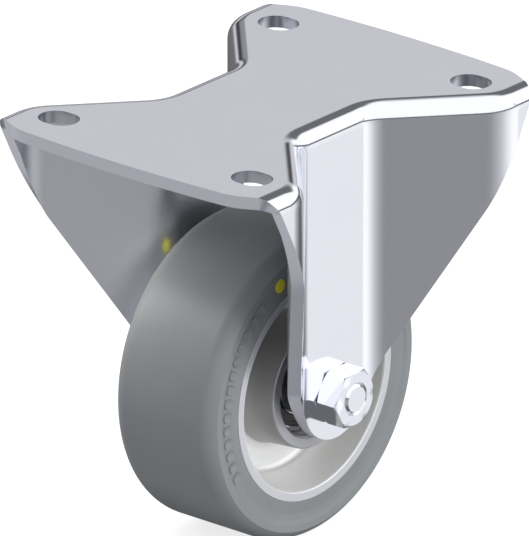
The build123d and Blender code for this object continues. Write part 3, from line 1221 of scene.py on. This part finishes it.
    def build_rings(self, shop: Workshop, side: Side) -> None:
        """Makes the row of small raised rings on one sidewall: one ring, copied round the axle.

        Args:
            shop: Where their finish comes from.
            side: The sidewall that they stand on.
        """
        sign, name = side.value, f"{side.name.lower()}_sidewall_bars"
        corners = [(y * self.ring_width / 2, z * self.ring_length / 2, self.ring_corner)
                   for y, z in ((1, 1), (-1, 1), (-1, -1), (1, -1))]
        outline = [round_axle(sign * (self.band_x - self.ring_root), 0) + place(0, y, self.band_middle + z)
                   for y, z in rounded(corners, closed=True, step=30)]
        ring = Workpiece(name).prism(outline, place(sign * (self.ring_root + self.ring_proud), 0, 0))
        with ring.editing():
            self.pick_face(ring, sign * (self.band_x + self.ring_proud))
            bpy.ops.mesh.inset(thickness=self.ring_stroke * MM)
            bpy.ops.transform.translate(value=place(-sign * self.ring_proud * self.ring_sink, 0, 0))
        ring.modify("BEVEL", width=self.ring_edge * MM, segments=1, limit_method="ANGLE",
                    angle_limit=math.radians(60))
        centre = Matrix.Translation(AXLE)
        copies = []
        for index in range(self.ring_count):
            copy = ring.obj.copy()
            copy.data = ring.obj.data.copy()
            bpy.context.collection.objects.link(copy)
            turn = Matrix.Rotation(math.radians(self.ring_turn + self.ring_pitch * index), 4, "X")
            copy.data.transform(centre @ turn @ centre.inverted())
            copies.append(copy)
        bpy.data.objects.remove(ring.obj)
        ring.obj = copies[0]
        ring.take_up()
        for copy in copies:
            copy.select_set(True)
        bpy.ops.object.join()
        ring.obj.name = ring.obj.data.name = name
        shop.deliver(ring.finish(), "tyre_rubber", Body.WHEEL)

    def build(self, shop: Workshop) -> None:
        """Makes all of the wheel's pieces.

        Args:
            shop: Where their finishes come from.
        """
        self.build_centre(shop)
        self.build_tyre(shop)
        for side in Side:
            self.build_dot(shop, side)
            self.build_rings(shop, side)


@dataclass(frozen=True)
class ScreenPanel:
    """A soft-edged screen in the surroundings: from where to where each coordinate of a direction meets it."""

    x: tuple[float, float]
    y: tuple[float, float]
    z: tuple[float, float]
    level: float
    soft: float = 0.03

    def hang(self, chain: NodeChain, split: bpy.types.Node, level: bpy.types.NodeSocket) -> bpy.types.NodeSocket:
        """Puts the screen in front of what is there.

        Args:
            chain: The world's nodes.
            split: Gives the three coordinates of the direction.
            level: The brightness without the screen.

        Returns:
            The brightness with it.
        """
        share = 1.0
        for axis, (low, high) in (("X", self.x), ("Y", self.y), ("Z", self.z)):
            if low > -1:
                fade = chain.remap(split.outputs[axis], low - self.soft, low + self.soft, 0.0, 1.0)
                share = chain.math("MULTIPLY", share, fade)
            if high < 1:
                fade = chain.remap(split.outputs[axis], high - self.soft, high + self.soft, 1.0, 0.0)
                share = chain.math("MULTIPLY", share, fade)
        gap = chain.math("SUBTRACT", self.level, level)
        return chain.math("MULTIPLY_ADD", gap, share, level)


@dataclass(frozen=True)
class SoftLamp:
    """A round soft lamp that looks at the caster: the way to it, its distance, size, power and colour.

    Metal mirrors it only where mirrored is set.
    """

    name: str
    way: tuple[float, float, float]
    distance: float
    size: float
    power: float
    colour: tuple[float, float, float]
    mirrored: bool = True

    def hang(self, aim: Vector) -> None:
        """Hangs the lamp and points it.

        Args:
            aim: The point that it looks at.
        """
        way = Vector(self.way).normalized()
        bpy.ops.object.light_add(type="AREA", location=aim + way * self.distance)
        lamp = bpy.context.object
        lamp.name = self.name
        lamp.rotation_mode = "QUATERNION"
        lamp.rotation_quaternion = (-way).to_track_quat("-Z", "Y")
        lamp.data.shape = "DISK"
        lamp.data.size = self.size
        lamp.data.energy = self.power
        lamp.data.color = self.colour
        lamp.visible_camera = False
        lamp.visible_glossy = self.mirrored


@dataclass
class Studio:
    """The plain studio: camera at the photo's angle, pale floor, soft surroundings and lamps."""

    azimuth: float = 40.0
    elevation: float = 22.0
    lens: float = 1400.0
    sensor: float = 36.0
    clip_start: float = 0.1
    frame_height: float = 165.53 * MM
    aim: Vector = field(default_factory=lambda: place(-0.22, -0.19, -55.83))
    floor_z: float = -140.0 * MM
    floor_size: float = 12.0
    floor_lift: float = 0.78
    floor_colour: tuple[float, float, float] = (0.39, 0.40, 0.43)
    surroundings_colour: tuple[float, float, float] = (0.97, 0.975, 1.0)
    white: tuple[float, float, float] = (1.0, 1.0, 1.0)
    # A ramp's colours end at 1, so levels are divided by this in it and multiplied back after it
    ramp_top: float = 1.25
    horizon: float = 0.521

    # Brightness low down, by azimuth from -X round through -Y, +X and +Y to -X
    low_levels: ClassVar[dict[float, float]] = {
        0.0: 0.6, 0.10: 0.5, 0.18: 0.5, 0.30: 0.52, 0.36: 0.5, 0.395: 0.31, 0.405: 0.295, 0.41: 0.295,
        0.439: 0.33, 0.458: 0.40, 0.477: 0.46, 0.496: 0.55, 0.515: 0.65, 0.533: 0.79, 0.553: 0.93, 0.572: 1.05,
        0.59: 1.12, 0.62: 1.12, 0.632: 0.89, 0.66: 0.89, 0.69: 0.45, 0.73: 0.14, 0.88: 0.14, 0.935: 0.17,
        0.97: 0.5, 1.0: 0.6,
    }
    # Brightness by height, from straight down to straight up. Under the horizon the low levels hold.
    high_levels: ClassVar[dict[float, float]] = {
        0.0: 0.0, 0.518: 0.0, 0.524: 0.12, 0.57: 0.12, 0.585: 1.12, 1.0: 1.12,
    }
    screens: ClassVar[tuple[ScreenPanel, ...]] = (
        ScreenPanel((0.3, 1), (0.3, 1), (0.25, 1), 1.6, 0.1),
        ScreenPanel((0.715, 0.85), (0.52, 1), (0.15, 0.6), 0.74, 0.03),
        ScreenPanel((-1, -0.25), (0.25, 1), (0.03, 1), 0.66, 0.05),
        ScreenPanel((-1, -0.36), (0.3, 1), (0.20, 0.335), 0.05, 0.035),
        ScreenPanel((-1, -0.8), (0.3, 0.6), (0.15, 0.30), 0.04, 0.03),
        ScreenPanel((-0.71, -0.5), (0.45, 1), (0.33, 0.47), 0.69, 0.035),
        ScreenPanel((-0.83, -0.64), (0.3, 0.665), (0.285, 0.43), 0.3, 0.02),
        ScreenPanel((-1, 0.02), (0.52, 1), (0.43, 1), 0.155, 0.05),
        ScreenPanel((0.15, 1), (-1, 1), (-1, -0.61), 0.16, 0.12),
        ScreenPanel((0.25, 0.74), (-1, -0.61), (0.17, 0.36), 0.78, 0.03),
        ScreenPanel((-0.38, 0.35), (-1, -0.3), (0.05, 0.72), 0.15, 0.1),
        ScreenPanel((-1, -0.3), (-1, -0.3), (0.05, 0.27), 0.22, 0.06),
        ScreenPanel((0.5, 0.7), (-0.8, -0.55), (0.37, 0.5), 1.3, 0.03),
    )
    lamps: ClassVar[tuple[SoftLamp, ...]] = (
        SoftLamp("key_lamp", (-0.60, -0.54, 0.65), 0.6, 0.16, 0.32, (1.0, 1.0, 0.95)),
        SoftLamp("wing_glow", (-0.65, -0.71, 0.27), 0.077, 0.03, 0.026, (1.0, 1.0, 0.96), False),
        SoftLamp("fill_lamp", (0.90, -0.12, 0.42), 0.7, 0.4, 2.5, (0.97, 1.0, 0.96), False),
    )

    def back(self) -> Vector:
        """Gives the direction from the object to the camera."""
        a, e = math.radians(self.azimuth), math.radians(self.elevation)
        return Vector((math.sin(a) * math.cos(e), -math.cos(a) * math.cos(e), math.sin(e)))

    def build(self) -> None:
        """Makes the camera, surroundings, floor and lamps."""
        self.camera()
        self.surroundings()
        self.floor()
        for lamp in self.lamps:
            lamp.hang(self.aim)
        bpy.context.scene.view_settings.view_transform = "Standard"

    def camera(self) -> None:
        """Adds the camera. Its long lens stands for the photo's even-scaled view."""
        distance = self.frame_height * self.lens / self.sensor
        bpy.ops.object.camera_add(location=self.aim + self.back() * distance)
        camera = bpy.context.object
        camera.name = "studio_camera"
        camera.rotation_mode = "QUATERNION"
        camera.rotation_quaternion = (-self.back()).to_track_quat("-Z", "Y")
        camera.data.lens = self.lens
        camera.data.sensor_width = self.sensor
        camera.data.clip_start = self.clip_start
        camera.data.clip_end = 4 * distance
        bpy.context.scene.camera = camera

    def brightness(self, chain: NodeChain) -> bpy.types.NodeSocket:
        """Works out how bright the surroundings are in each direction.

        Args:
            chain: The world's nodes.

        Returns:
            The brightness.
        """
        split = chain.split(chain.add("ShaderNodeTexCoord").outputs["Generated"])
        turn = chain.math("ARCTAN2", split.outputs["Y"], split.outputs["X"])
        azimuth = chain.math("MULTIPLY_ADD", turn, 0.5 / math.pi, 0.5)
        height = chain.math("MULTIPLY_ADD", split.outputs["Z"], 0.5, 0.5)
        low, high = (chain.ramp(source, {at: (level / self.ramp_top,) * 3 for at, level in levels.items()})
                     for source, levels in ((azimuth, self.low_levels), (height, self.high_levels)))
        under = chain.math("LESS_THAN", height, self.horizon)
        level = chain.math("ADD", chain.math("MULTIPLY", low, under), high)
        level = chain.math("MULTIPLY", level, self.ramp_top)
        for screen in self.screens:
            level = screen.hang(chain, split, level)
        return level

    def surroundings(self) -> None:
        """Lights the object by soft surroundings, which the camera itself sees as white."""
        world = bpy.data.worlds.new("studio_surroundings")
        bpy.context.scene.world = world
        world.use_nodes = True
        chain = NodeChain(world.node_tree)
        around = chain.coloured("ShaderNodeBackground", self.surroundings_colour)
        chain.link(self.brightness(chain), around.inputs["Strength"])
        white = chain.coloured("ShaderNodeBackground", self.white)
        seen = chain.add("ShaderNodeLightPath")
        mix = chain.add("ShaderNodeMixShader")
        chain.link(seen.outputs["Is Camera Ray"], mix.inputs[0])
        chain.link(around.outputs[0], mix.inputs[1])
        chain.link(white.outputs[0], mix.inputs[2])
        chain.link(mix.outputs[0], chain.add("ShaderNodeOutputWorld").inputs[0])

    def floor(self) -> None:
        """Lays the pale floor, which shows white but keeps the object's shadow."""
        bpy.ops.mesh.primitive_plane_add(size=self.floor_size, location=(0, 0, self.floor_z))
        floor = bpy.context.object
        floor.name = "studio_floor"
        floor.visible_glossy = False
        material = bpy.data.materials.new("pale_floor")
        material.use_nodes = True
        chain = NodeChain(material.node_tree)
        pale = chain.coloured("ShaderNodeBsdfDiffuse", self.floor_colour)
        lift = chain.add("ShaderNodeEmission")
        seen = chain.add("ShaderNodeLightPath")
        chain.link(chain.math("MULTIPLY", seen.outputs["Is Camera Ray"], self.floor_lift), lift.inputs["Strength"])
        both = chain.add("ShaderNodeAddShader")
        chain.link(pale.outputs[0], both.inputs[0])
        chain.link(lift.outputs[0], both.inputs[1])
        chain.link(both.outputs[0], chain.add("ShaderNodeOutputMaterial").inputs[0])
        floor.data.materials.append(material)


def main() -> None:
    """Builds the studio and every piece of the caster."""
    logging.basicConfig(level=logging.INFO, format="%(message)s")
    Studio().build()
    shop = Workshop()
    PressedBracket().build(shop)
    AxleSet().build(shop)
    for side in Side:
        BallBearing(side).build(shop)
    Wheel().build(shop)
    shop.dress_nodes(frame["record"])


if __name__ == "__main__":
    main()
